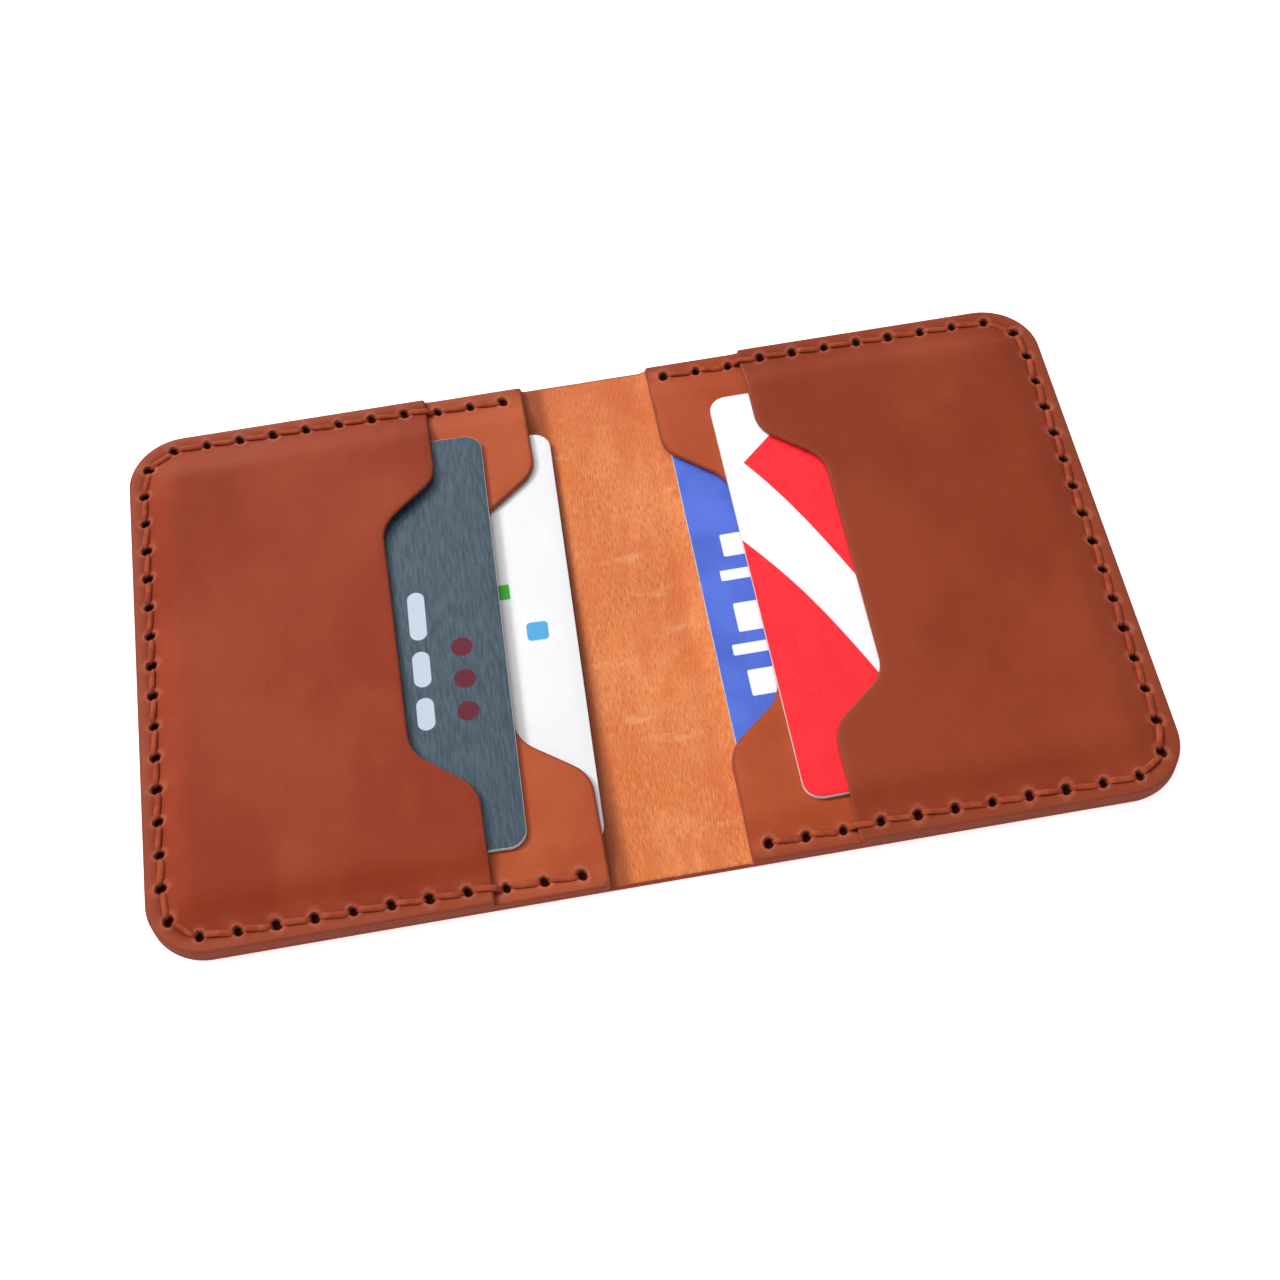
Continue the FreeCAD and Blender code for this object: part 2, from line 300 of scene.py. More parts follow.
def under_groove(x, y):
    """How far the outer face rises along the seam, so that its stitches lie inside it."""
    line = seam_band(x, y, UNDER_GROOVE_WIDTH) * smooth(x, SEAM_START - 1.2, SEAM_START - 0.4)
    return UNDER_GROOVE_DEPTH * line + UNDER_PIT_DEPTH * pits(x, y)[0]


# Each face of a sheet is a height function of x, y and side, and some are the same on both sides.


def shell_top(x, y, side):
    bare = 1 - smooth(x, LOWER_MOUTH - 1.5, LOWER_MOUTH)
    return SHELL_TOP - bare * (SPINE_DIP + SPINE_WAVES * waves(x, y, side, SPINE_WAVE_SCALE))


def shell_bottom(x, y, side):
    return under_groove(x, y)


def lower_bottom(x, y, side):
    return SHELL_TOP + SLOT_HEIGHT * card_rise(x, y)


def lower_top(x, y, side):
    shown = 1 - smooth(x, UPPER_MOUTH + 0.6, UPPER_MOUTH + 1.6)
    return lower_bottom(x, y, side) + PANEL_THICKNESS - seam_dip(x, y) * shown


def upper_lift(x, y, side, opening):
    """The upper pocket relaxes upwards a little, and the left one gapes at the far flank of its notch."""
    from_flank = np.hypot(x - UPPER_MOUTH - GAPE_PAST_MOUTH, y - NOTCH_REACH + GAPE_INSIDE_NOTCH)
    flank = bell(from_flank, GAPE_WIDTH)
    loose = LOOSE_WAVES * waves(x, y, side, LOOSE_WAVE_SCALE)
    loose += LOOSE_MOUTH * bell(x - UPPER_MOUTH, LOOSE_MOUTH_WIDTH)
    return card_rise(x, y) * (loose * (1 - flank) + opening * flank * (side < 0))


def upper_face(x, y, side):
    rise = 2 * SLOT_HEIGHT * face_rise(x, y)
    return SHELL_TOP + 2 * PANEL_THICKNESS + rise + upper_lift(x, y, side, GAPE_FACE)


def upper_bottom(x, y, side):
    rise = 2 * SLOT_HEIGHT * card_rise(x, y)
    low = SHELL_TOP + PANEL_THICKNESS + rise + upper_lift(x, y, side, GAPE_UNDER)
    return np.minimum(low, upper_face(x, y, side) - THINNEST)


def upper_top(x, y, side):
    return upper_face(x, y, side) - seam_dip(x, y)


# ---- Leather sheets -----------------------------------------------------------------------------
def inside(points, outline):
    """Whether each point lies inside the outline, and its distance from the outline's points."""
    a, b = outline, np.roll(outline, -1, 0)
    x, y = points[:, 0][:, None], points[:, 1][:, None]
    spans = (a[:, 1] > y) != (b[:, 1] > y)
    with np.errstate(divide="ignore", invalid="ignore"):
        crossing = (b[:, 0] - a[:, 0]) * (y - a[:, 1]) / (b[:, 1] - a[:, 1]) + a[:, 0]
    odd = np.sum(spans & (x < crossing), 1) % 2 == 1
    reach = np.sqrt(np.min((a[:, 0] - x) ** 2 + (a[:, 1] - y) ** 2, 1))
    return odd, reach


def fill_points(outline, seam_from, seam_to, grid, bend=0.0):
    """Inner points of a sheet, in stages that each keep clear of the points before them.

    The stages are rings round the stitch holes between x = seam_from and seam_to, columns along the bend up
    to x = bend, rows along the seam, rows over the ramp, and a plain grid.
    """
    shown = holes[(holes[:, 0] > seam_from) & (holes[:, 0] < seam_to)]
    rings = [(hx + r * math.cos(a), hy + r * math.sin(a))
             for hx, hy in shown
             for r, count in PIT_RINGS
             for a in np.linspace(0, 2 * math.pi, count, endpoint=False) + r]
    column = np.linspace(BEND_MARGIN - HALF_WIDTH, HALF_WIDTH - BEND_MARGIN, BEND_POINTS)
    columns = [(x, y) for x in np.arange(BEND_START, bend, BEND_STEP) for y in column]
    seam_rows = [p for inset in np.arange(SEAM_INSET - SEAM_ROWS_OUT, SEAM_INSET + SEAM_ROWS_IN, SEAM_ROW_GAP)
                 for p in closed_sides(inset, max(seam_from, SEAM_START - SEAM_ROWS_LEAD), SEAM_ROW_STEP)
                 if p[0] < seam_to]
    ramp_rows = [p for inset in np.arange(RAMP_START, FACE_END, RAMP_ROW_GAP)
                 for p in closed_sides(inset, 0.0, RAMP_ROW_STEP)]
    low, high = outline.min(0), outline.max(0)
    grid_x = np.arange(low[0] + grid / 2, high[0], grid)
    grid_y = np.arange(-grid * math.floor(high[1] / grid), high[1], grid)
    plain_grid = [(x, y) for x in grid_x for y in grid_y]
    stages = (
        (rings, 0.12),
        (columns, 0.4),
        (seam_rows, 0.3),
        (ramp_rows, 0.35),
        (plain_grid, grid * 0.55),
    )
    kept = []
    for points, clearance in stages:
        if not points:
            continue
        points = np.array(points)
        odd, reach = inside(points, outline)
        points = points[odd & (reach > clearance)]
        if kept:
            tree = kdtree.KDTree(len(kept))
            for i, p in enumerate(kept):
                tree.insert((*p, 0), i)
            tree.balance()
            points = [p for p in points if tree.find((*p, 0))[2] > clearance]
        kept += [tuple(p) for p in points]
    return np.array(kept)


def triangles(loop, fill):
    """Triangles over the loop and the fill points, as indices into loop + fill."""
    verts = [Vector(p) for p in np.vstack((loop, fill))]
    result = delaunay_2d_cdt(verts, [], [list(range(len(loop)))], 1, 1e-7)
    origin = [o[0] for o in result[3]]
    return [[origin[i] for i in face] for face in result[2]]


def ring_faces(start, rings, count):
    """Quads between rings of count points that follow each other from index start."""
    faces = []
    for a in range(start, start + (rings - 1) * count, count):
        b = a + count
        for i in range(count):
            j = (i + 1) % count
            faces.append((a + i, a + j, b + j, b + i))
    return faces


def new_mesh(name, coords, faces, side=1):
    """Mesh from points in millimetres. Side -1 mirrors it in X and keeps its faces pointing outwards."""
    coords = np.array(coords)
    coords[:, 0] *= side
    if side < 0:
        faces = [tuple(reversed(face)) for face in faces]
    mesh = bpy.data.meshes.new(name)
    mesh.from_pydata((coords * MM).tolist(), [], faces)
    return mesh


def store_values(mesh, **attributes):
    """Stores one number for each point under each name, for the materials to read."""
    for name, values in attributes.items():
        values = np.array(values, np.float32)
        mesh.attributes.new(name, "FLOAT", "POINT").data.foreach_set("value", values)


def smooth_below(mesh, sharp):
    """Shades the mesh smooth except at edges that turn by more than this many degrees."""
    mesh.shade_smooth()
    mesh.set_sharp_from_angle(angle=math.radians(sharp))


def add_object(name, data):
    """A new object in the scene that shows this mesh, light or camera."""
    thing = bpy.data.objects.new(name, data)
    bpy.context.scene.collection.objects.link(thing)
    return thing


def sheet(name, side, outline, heights, rounds, fills, cut_at_zero=False):
    """Closed sheet with rounded edges between two height functions.

    heights, rounds and fills are pairs, for the top and then the bottom: the height function, a function that
    gives the edge radius at an outline point, and the inner points. The sheet that is cut at zero is half of
    the shell. It has square edges there, and its top face has material 1.
    """
    top, bottom = heights
    normals = inward_normals(outline)
    top_radii, bottom_radii = [np.array([radius(x, y) for x, y in outline]) for radius in rounds]
    rim = outline
    if cut_at_zero:
        on_cut = np.abs(outline[:, 0]) < 1e-6
        corner = on_cut & (np.abs(outline[:, 1]) > HALF_WIDTH - 1e-6)
        normals[corner] = np.column_stack((np.zeros(corner.sum()), -np.sign(outline[corner, 1])))
        for radii in (top_radii, bottom_radii):
            radii[on_cut & ~corner] = 0
        rim = outline[~on_cut]
    rim_values = bell(inside(outline, rim)[1], EDGE_FADE)
    coords, edge_values = [], []

    def add_ring(radii, angle, height, sign):
        place = outline + normals * (radii * (1 - math.cos(angle)))[:, None]
        z = height(place[:, 0], place[:, 1], side) - sign * radii * (1 - math.sin(angle))
        coords.extend(np.column_stack((place, z)))
        edge_values.extend(rim_values)
        return place

    # The rings run from the top face's loop, round both rounded edges, to the bottom face's loop.
    angles = [math.pi / 2 * k / (ROUND_RINGS - 1) for k in range(ROUND_RINGS)]
    top_loop = [add_ring(top_radii, angle, top, 1) for angle in reversed(angles)][0]
    bottom_loop = [add_ring(bottom_radii, angle, bottom, -1) for angle in angles][-1]
    count = len(outline)
    faces = [(b, a, d, c) for a, b, c, d in ring_faces(0, 2 * ROUND_RINGS, count)]
    face_counts = [len(faces)]
    bottom_start = (2 * ROUND_RINGS - 1) * count
    caps = ((top_loop, fills[0], top, 0, 1), (bottom_loop, fills[1], bottom, bottom_start, -1))
    for loop, fill, height, start, order in caps:
        fill_start = len(coords)
        for face in triangles(loop, fill):
            corners = [i + start if i < count else i - count + fill_start for i in face]
            faces.append(tuple(corners[::order]))
        face_counts.append(len(faces))
        coords.extend(np.column_stack((fill, height(fill[:, 0], fill[:, 1], side))))
        edge_values.extend(bell(inside(fill, rim)[1], EDGE_FADE))

    x, y = np.array(coords)[:, :2].T
    pit, lip = pits(x, y)
    # The pit value also takes the painted shade line along the seam.
    pit = np.maximum(pit, seam_shade(x, y))
    border = 1 - smooth(rim_inset(x, y), BORDER_START, SEAM_INSET)
    mesh = new_mesh(name, coords, faces, side)
    store_values(mesh, edge=edge_values, pit=pit, lip=lip, border=border)
    materials = np.zeros(len(faces), np.int32)
    if cut_at_zero:
        materials[face_counts[0]:face_counts[1]] = 1
    mesh.polygons.foreach_set("material_index", materials)
    pair_triangles(mesh)
    smooth_below(mesh, 40)
    mesh.validate()
    return add_object(name, mesh)


def pair_triangles(mesh):
    """Merges coinciding points and joins pairs of triangles into quads."""
    bm = bmesh.new()
    bm.from_mesh(mesh)
    bmesh.ops.remove_doubles(bm, verts=bm.verts, dist=1e-7)
    bmesh.ops.join_triangles(bm, faces=bm.faces, cmp_materials=True,
                             angle_face_threshold=0.35, angle_shape_threshold=0.7)
    bm.to_mesh(mesh)
    bm.free()


def even_round(radius):
    """The same edge radius all round."""
    return lambda x, y: radius


def covered_round(radius, mouth):
    """An edge radius that falls to JOINT_ROUND where the layer above covers the edge, past its mouth."""
    return lambda x, y: radius - (radius - JOINT_ROUND) * smooth(x, mouth - ROUND_CHANGE, mouth)


def under_round(x, y):
    """Edge radius of a pocket's underside: small on the closed sides and larger along the mouth."""
    return UNDER_ROUND if rim_inset(x, y) > 0.5 else JOINT_ROUND


def plain_fill(outline, grid, bend=0.0):
    """Inner points of a face that shows no stitch holes."""
    return fill_points(outline, HALF_LENGTH, 0, grid, bend)


def make_leather():
    """The six leather sheets, by layer and label: the shell and the two pocket panels of each half."""
    shell, lower, upper = shell_outline(), panel_outline(LOWER_MOUTH), panel_outline(UPPER_MOUTH)
    shell_fills = (plain_fill(shell, 1.6, LOWER_MOUTH), fill_points(shell, 0, HALF_LENGTH, 1.8, LOWER_MOUTH))
    lower_fills = (fill_points(lower, 0, UPPER_MOUTH + 1.5, 1.8), plain_fill(lower, 2.5))
    upper_fills = (fill_points(upper, UPPER_MOUTH, HALF_LENGTH, 1.4), plain_fill(upper, 2.5))
    shell_rounds = (covered_round(RIM_ROUND, LOWER_MOUTH), even_round(RIM_ROUND))
    lower_rounds = (covered_round(MOUTH_ROUND, UPPER_MOUTH), under_round)
    upper_rounds = (even_round(RIM_ROUND), under_round)
    pieces = {}
    for label, side in SIDES.items():
        ease = pulled if side < 0 else np.array
        pieces["shell", label] = sheet(
            f"shell_{label}", side, shell,
            (shell_top, shell_bottom), shell_rounds, shell_fills, cut_at_zero=True)
        pieces["lower", label] = sheet(
            f"lower_pocket_skin_{label}", side, ease(lower),
            (lower_top, lower_bottom), lower_rounds, [ease(fill) for fill in lower_fills])
        pieces["upper", label] = sheet(
            f"upper_pocket_skin_{label}", side, upper,
            (upper_top, upper_bottom), upper_rounds, upper_fills)
    return pieces


# ---- Thread -------------------------------------------------------------------------------------
def stitch(centre_line, width, height, sections, phase):
    """Rings of one twisted stitch along a line of points. It is a little thinner towards its ends."""
    tangents = np.gradient(centre_line, axis=0)
    tangents /= np.linalg.norm(tangents, axis=1)[:, None]
    lateral = np.cross(tangents, (0, 0, 1))
    lateral /= np.linalg.norm(lateral, axis=1)[:, None]
    normal = np.cross(lateral, tangents)
    run = np.concatenate(([0], np.cumsum(np.linalg.norm(np.diff(centre_line, axis=0), axis=1))))
    rings = []
    for i, point in enumerate(centre_line):
        share = abs(2 * run[i] / run[-1] - 1)
        thin = 1 - 0.22 * share ** 4
        angles = np.linspace(0, 2 * math.pi, sections, endpoint=False)
        twist = phase + 2 * math.pi * run[i] / THREAD_LAY
        lobes = 0.86 + 0.14 * np.abs(np.cos(THREAD_PLIES * (angles - twist) / 2)) ** 0.7
        across = (width * thin * lobes * np.cos(angles))[:, None] * lateral[i]
        upward = (height * lobes * np.sin(angles))[:, None] * normal[i]
        rings.append(point + across + upward)
    return rings


def thread_surface(x, y):
    """Height of the leather under a stitch: the lower flange, then the upper flange past its mouth."""
    upper = smooth(x, UPPER_MOUTH - 1.5, UPPER_MOUTH + 0.1)
    return SHELL_TOP + PANEL_THICKNESS * (1 + upper) + SLOT_HEIGHT * (1 + upper) * face_rise(x, y)


def stitch_line(start, end, top, slant, bow):
    """Points of the line of one stitch between two holes, and how near each is to an end, from 0 to 1."""
    count = 23 if top else 13
    t = 0.5 - 0.5 * np.cos(np.linspace(0, math.pi, count))
    along = (end - start) / np.linalg.norm(end - start)
    across = np.array((-along[1], along[0]))
    plane = start + (end - start) * t[:, None]
    plane += across * (slant * (1 - 2 * t) + bow * np.sin(math.pi * t))[:, None]
    plane += along * (THREAD_END * (1 - 2 * t))[:, None]
    share = np.abs(2 * t - 1)
    dive = share ** THREAD_DIVE_POWER
    if top:
        z = thread_surface(plane[:, 0], plane[:, 1]) - GROOVE_DEPTH + THREAD_LIFT - THREAD_DIVE * dive
    else:
        z = THREAD_UNDER_LIFT + THREAD_UNDER_DIVE * dive
    return np.column_stack((plane, z)), share


def make_thread(label, side, rng):
    """All the stitches of one half, on both faces. Their pit value is painted shade, on undersides and in
    holes.
    """
    coords, faces, thread_shade = [], [], []

    def add_tube(rings, hole_shade, outward):
        """Joins the rings, with painted shade on those inside a hole and on the side away from outward."""
        start, count = len(coords), len(rings[0])
        facing = outward * np.sin(np.linspace(0, 2 * math.pi, count, endpoint=False))
        # Painted shade along the underside of the thread, the side away from outward.
        underside = np.maximum(0.15 - facing, 0) * 0.6
        for ring, ring_shade in zip(rings, hole_shade):
            coords.extend(ring)
            thread_shade.extend(np.maximum(underside, ring_shade))
        faces.extend(ring_faces(start, len(rings), count))
        faces.append(tuple(start + i for i in reversed(range(count))))
        faces.append(tuple(start + (len(rings) - 1) * count + i for i in range(count)))

    for start, end in zip(holes[:-1], holes[1:]):
        for top in (True, False):
            slant = rng.uniform(*THREAD_SLANTS) * side
            bow = rng.uniform(-THREAD_BOW, THREAD_BOW)
            line, share = stitch_line(start, end, top, slant, bow)
            wide = THREAD_HALF_WIDTH * rng.uniform(*THREAD_SIZES)
            high = THREAD_HALF_HEIGHT if top else THREAD_UNDER_HALF_HEIGHT
            sections = 18 if top else 10
            rings = stitch(line, wide, high, sections, rng.uniform(0, 2 * math.pi))
            # Painted shade where a stitch dives into its holes.
            add_tube(rings, smooth(share, 0.78, 0.90), 1 if top else -1)
    mesh = new_mesh(f"saddle_stitch_{label}", coords, faces, side)
    store_values(mesh, pit=thread_shade)
    smooth_below(mesh, 75)
    return add_object(mesh.name, mesh)


# ---- Cards --------------------------------------------------------------------------------------
def make_card(node):
    """Card slab with rounded corners and softened edges. Its own X is its short way, and Y its long way."""
    w, h, r, t = CARD_WIDTH / 2, CARD_LENGTH / 2, CARD_CORNER, CARD_THICKNESS
    soft, softer = CARD_EDGE_ROUND, CARD_EDGE_ROUND * 0.3
    levels = ((soft, 0), (softer, softer), (0, soft), (0, t - soft), (softer, t - softer), (soft, t))
    corners = ((w - r, h - r, 0), (r - w, h - r, 90), (r - w, r - h, 180), (w - r, r - h, 270))
    coords = []
    for inset, z in levels:
        for cx, cy, start in corners:
            for a in np.radians(np.linspace(start, start + 90, CARD_CORNER_POINTS)):
                coords.append((cx + (r - inset) * math.cos(a), cy + (r - inset) * math.sin(a), z))
    count = len(corners) * CARD_CORNER_POINTS
    faces = ring_faces(0, len(levels), count)
    materials = [1] * len(faces) + [0, 0]
    faces.append(tuple(reversed(range(count))))
    faces.append(tuple(range(len(coords) - count, len(coords))))
    mesh = new_mesh(f"{node}_print", coords, faces)
    mesh.polygons.foreach_set("material_index", materials)
    smooth_below(mesh, 30)
    piece = add_object(mesh.name, mesh)
    low, high = box_mm(node)
    middle = (low + high) / 2
    turn = Matrix.Rotation(math.radians(CARD_SKEWS[node]), 4, "Z")
    piece.matrix_world = Matrix.Translation(Vector((middle.x, middle.y, low.z)) * MM) @ turn
    return piece


# ---- Materials ----------------------------------------------------------------------------------
MASK_BLUR = 0.06


def srgb(r, g, b):
    """Linear colour from 0 to 255 screen values."""
    linear = [((c / 255 + 0.055) / 1.055) ** 2.4 if c > 10 else c / 255 / 12.92 for c in (r, g, b)]
    return (*linear, 1.0)


class Nodes:
    """A material, and the few kinds of shader node that this file adds to it."""

    def __init__(self, name):
        self.material = bpy.data.materials.new(name)
        self.material.use_nodes = True
        self.tree = self.material.node_tree
        self.shader = self.tree.nodes["Principled BSDF"]
        self.place = self.add("ShaderNodeTexCoord").outputs["Object"]

    def add(self, kind, **settings):
        node = self.tree.nodes.new(kind)
        for key, value in settings.items():
            setattr(node, key, value)
        return node

    def put(self, socket, value):
        if isinstance(value, bpy.types.NodeSocket):
            self.tree.links.new(value, socket)
        else:
            socket.default_value = value

    def scaled(self, x, y, z, turn=0.0):
        """Object position in millimetres, times a scale on each axis, after a turn about Z in degrees."""
        node = self.add("ShaderNodeMapping")
        self.put(node.inputs["Vector"], self.place)
        node.inputs["Scale"].default_value = (x / MM, y / MM, z / MM)
        node.inputs["Rotation"].default_value = (0, 0, math.radians(turn))
        return node.outputs["Vector"]

    def noise(self, vector, detail=3.0, rough=0.5):
        node = self.add("ShaderNodeTexNoise")
        self.put(node.inputs["Vector"], vector)
        node.inputs["Scale"].default_value = 1.0
        node.inputs["Detail"].default_value = detail
        node.inputs["Roughness"].default_value = rough
        return node.outputs["Fac"]

    def cells(self, vector):
        node = self.add("ShaderNodeTexVoronoi")
        self.put(node.inputs["Vector"], vector)
        node.inputs["Scale"].default_value = 1.0
        return node.outputs["Distance"]

    def ramp(self, value, low, high, start=0.0, end=1.0):
        """value from low..high to start..end, smoothly."""
        node = self.add("ShaderNodeMapRange", interpolation_type="SMOOTHSTEP")
        self.put(node.inputs["Value"], value)
        for key, number in (("From Min", low), ("From Max", high), ("To Min", start), ("To Max", end)):
            node.inputs[key].default_value = number
        return node.outputs["Result"]

    def math(self, operation, a, b=0.0):
        node = self.add("ShaderNodeMath", operation=operation)
        self.put(node.inputs[0], a)
        self.put(node.inputs[1], b)
        return node.outputs["Value"]

    def mix(self, factor, a, b):
        """Colour a where factor is 0 and b where it is 1."""
        node = self.add("ShaderNodeMix", data_type="RGBA")
        self.put(node.inputs["Factor"], factor)
        self.put(node.inputs["A"], a)
        self.put(node.inputs["B"], b)
        return node.outputs["Result"]

    def attribute(self, name):
        return self.add("ShaderNodeAttribute", attribute_name=name).outputs["Fac"]

    def axes(self):
        """Object position in millimetres, as three numbers."""
        node = self.add("ShaderNodeSeparateXYZ")
        self.put(node.inputs["Vector"], self.scaled(1, 1, 1))
        return node.outputs["X"], node.outputs["Y"], node.outputs["Z"]

    def combine(self, x, y, z):
        node = self.add("ShaderNodeCombineXYZ")
        for socket, value in zip(node.inputs, (x, y, z)):
            self.put(socket, value)
        return node.outputs["Vector"]

    def bump(self, height, distance, below=None):
        """Normal of a relief this many millimetres deep, added to the normal below it."""
        node = self.add("ShaderNodeBump")
        self.put(node.inputs["Height"], height)
        node.inputs["Distance"].default_value = distance * MM
        node.inputs["Strength"].default_value = 1.0
        if below is not None:
            self.put(node.inputs["Normal"], below)
        return node.outputs["Normal"]

    def finish(self, colour, roughness, normal=None, **constants):
        """Joins the shader's main inputs, sets constants such as Sheen_Weight, and returns the material."""
        self.put(self.shader.inputs["Base Color"], colour)
        self.put(self.shader.inputs["Roughness"], roughness)
        if normal is not None:
            self.put(self.shader.inputs["Normal"], normal)
        for key, value in constants.items():
            self.shader.inputs[key.replace("_", " ")].default_value = value
        return self.material


def grain_leather(name, base, deep, pale, worn_and_lit, edge):
    """Smooth vegetable-tanned leather, grain side, with a slow mottle, fine pores and faint creases.

    base, deep and pale are the panel's colours, and the next two the border's and the burnished edges'.
    The border is paler partly from wear and partly as a painted slope light. The stitch holes and the
    stitched line get painted shade, and the lips round the holes a painted highlight.
    """
    n = Nodes(name)
    slow = n.noise(n.scaled(0.035, 0.03, 0.03), 4.0, 0.55)
    cloud = n.noise(n.scaled(0.10, 0.07, 0.10), 4.0, 0.5)
    speck = n.noise(n.scaled(1.3, 1.3, 1.3), 3.0, 0.6)
    colour = n.mix(n.ramp(slow, 0.35, 0.65), deep, base)
    colour = n.mix(n.ramp(cloud, 0.45, 0.80, 0.0, 0.50), colour, pale)
    colour = n.mix(n.ramp(speck, 0.60, 0.80, 0.0, 0.22), colour, deep)
    rim = n.attribute("edge")
    # The border's paler colour: partly wear, partly a painted slope light.
    wear_and_light = n.math("MULTIPLY", n.attribute("border"), n.ramp(cloud, 0.3, 0.7, 0.50, 0.90))
    colour = n.mix(wear_and_light, colour, worn_and_lit)
    colour = n.mix(n.ramp(rim, 0.86, 1.0, 0.0, 0.8), colour, edge)
    # Painted highlight: pale pink on the raised lips round the stitch holes.
    colour = n.mix(n.math("MULTIPLY", n.attribute("lip"), 0.45), colour, srgb(190, 112, 88))
    # Painted shade: the stitch holes, and the line along the seam, darkened nearly to black.
    pit = n.attribute("pit")
    colour = n.mix(n.ramp(pit, 0.04, 0.70), colour, srgb(46, 12, 6))
    pores = n.cells(n.scaled(2.1, 2.1, 2.1))
    creases = n.noise(n.scaled(1.1, 0.8, 1.0), 5.0, 0.65)
    normal = n.bump(n.ramp(pores, 0.0, 0.5), 0.016)
    normal = n.bump(creases, 0.05, normal)
    dull = n.math("ADD", n.ramp(cloud, 0.3, 0.7, 0.50, 0.58), n.ramp(rim, 0.5, 1.0, 0.0, -0.12))
    dull = n.math("ADD", dull, n.ramp(pit, 0.3, 0.7, 0.0, 0.5))
    return n.finish(colour, dull, normal, Specular_IOR_Level=0.17)


def flesh_leather(name):
    """Inner side of the leather: matt, with short fibres along the fold, stains, a few pale scuffs and a
    painted shadow beside the left pockets' mouths.
    """
    n = Nodes(name)
    slow = n.noise(n.scaled(0.07, 0.04, 0.07), 4.0, 0.55)
    colour = n.mix(n.ramp(slow, 0.35, 0.68), srgb(214, 118, 64), srgb(232, 142, 86))
    warp = n.noise(n.scaled(0.25, 0.12, 0.25), 2.0)
    lean = n.add("ShaderNodeVectorMath", operation="MULTIPLY_ADD")
    n.put(lean.inputs[0], n.combine(warp, 0.0, 0.0))
    lean.inputs[1].default_value = (5.0, 1.0, 1.0)
    n.put(lean.inputs[2], n.scaled(3.6, 0.62, 1.0))
    fibres = n.noise(lean.outputs["Vector"], 4.0, 0.62)
    colour = n.mix(n.ramp(fibres, 0.51, 0.66, 0.0, 0.52), colour, srgb(174, 84, 43))
    colour = n.mix(n.ramp(fibres, 0.34, 0.48, 0.45, 0.0), colour, srgb(242, 162, 108))
    red = n.noise(n.scaled(0.16, 0.07, 0.16, -8), 3.0, 0.6)
    colour = n.mix(n.ramp(red, 0.46, 0.66, 0.0, 0.55), colour, srgb(208, 102, 56))
    amber = n.noise(n.scaled(0.11, 0.09, 0.11, 40), 3.0, 0.6)
    colour = n.mix(n.ramp(amber, 0.56, 0.72, 0.0, 0.6), colour, srgb(216, 112, 46))
    scuff = n.noise(n.scaled(0.11, 0.26, 0.5, 24), 3.0, 0.55)
    colour = n.mix(n.ramp(scuff, 0.60, 0.76, 0.0, 0.36), colour, srgb(240, 178, 130))
    across, along, _ = n.axes()
    colour = n.mix(n.ramp(along, 20.0, 52.0, 0.0, 0.45), colour, srgb(204, 100, 54))
    # Painted shadow: a dark band on the spine beside the left pockets' mouths and their cards.
    colour = n.mix(n.ramp(across, -6.6, -8.9, 0.0, 0.85), colour, srgb(146, 70, 36))
    dirt = n.noise(n.scaled(0.9, 0.5, 0.9, -12), 4.0, 0.7)
    colour = n.mix(n.ramp(dirt, 0.70, 0.80, 0.0, 0.6), colour, srgb(120, 52, 28))
    colour = n.mix(n.ramp(n.attribute("edge"), 0.4, 1.0, 0.0, 0.5), colour, srgb(176, 80, 42))
    normal = n.bump(fibres, 0.15)
    normal = n.bump(n.noise(n.scaled(1.2, 0.7, 1.0), 5.0, 0.7), 0.08, normal)
    dull = n.ramp(fibres, 0.3, 0.7, 0.62, 0.75)
    return n.finish(colour, dull, normal, Specular_IOR_Level=0.3, Sheen_Weight=0.15, Sheen_Roughness=0.5)


def waxed_thread():
    """Red-brown waxed linen with paler fibres, with painted shade where it goes into a hole and on its
    underside.
    """
    n = Nodes("waxed_thread")
    fine = n.noise(n.scaled(5.0, 5.0, 5.0), 3.0, 0.6)
    slow = n.noise(n.scaled(0.5, 0.5, 0.5), 2.0)
    colour = n.mix(n.ramp(slow, 0.35, 0.65), srgb(142, 56, 32), srgb(162, 72, 44))
    colour = n.mix(n.ramp(fine, 0.52, 0.75, 0.0, 0.5), colour, srgb(196, 108, 74))
    # Painted shade from the pit value: in the holes and along the thread's underside.
    colour = n.mix(n.attribute("pit"), colour, (0.008, 0.003, 0.002, 1))
    normal = n.bump(n.noise(n.scaled(9.0, 9.0, 9.0), 2.0), 0.03)
    return n.finish(colour, 0.5, normal, Specular_IOR_Level=0.2)


def box_mask(n, x, y, centre, half, corner):
    """1 inside a rounded rectangle of the given half sizes, in millimetres."""
    squares = []
    for value, middle, half_size in zip((x, y), centre, half):
        offset = n.math("ABSOLUTE", n.math("SUBTRACT", value, middle))
        past = n.math("MAXIMUM", n.math("SUBTRACT", offset, half_size - corner), 0.0)
        squares.append(n.math("MULTIPLY", past, past))
    reach = n.math("SQRT", n.math("ADD", *squares))
    return n.ramp(reach, corner - MASK_BLUR, corner + MASK_BLUR, 1.0, 0.0)


def add_boxes(n, colour, boxes, corner, ink):
    """Prints rounded rectangles on a card. boxes holds (centre x, centre y, half width, half length)."""
    x, y, _ = n.axes()
    for across, along, half_width, half_length in boxes:
        mask = box_mask(n, x, y, (across, along), (half_width, half_length), corner)
        colour = n.mix(mask, colour, ink)
    return colour


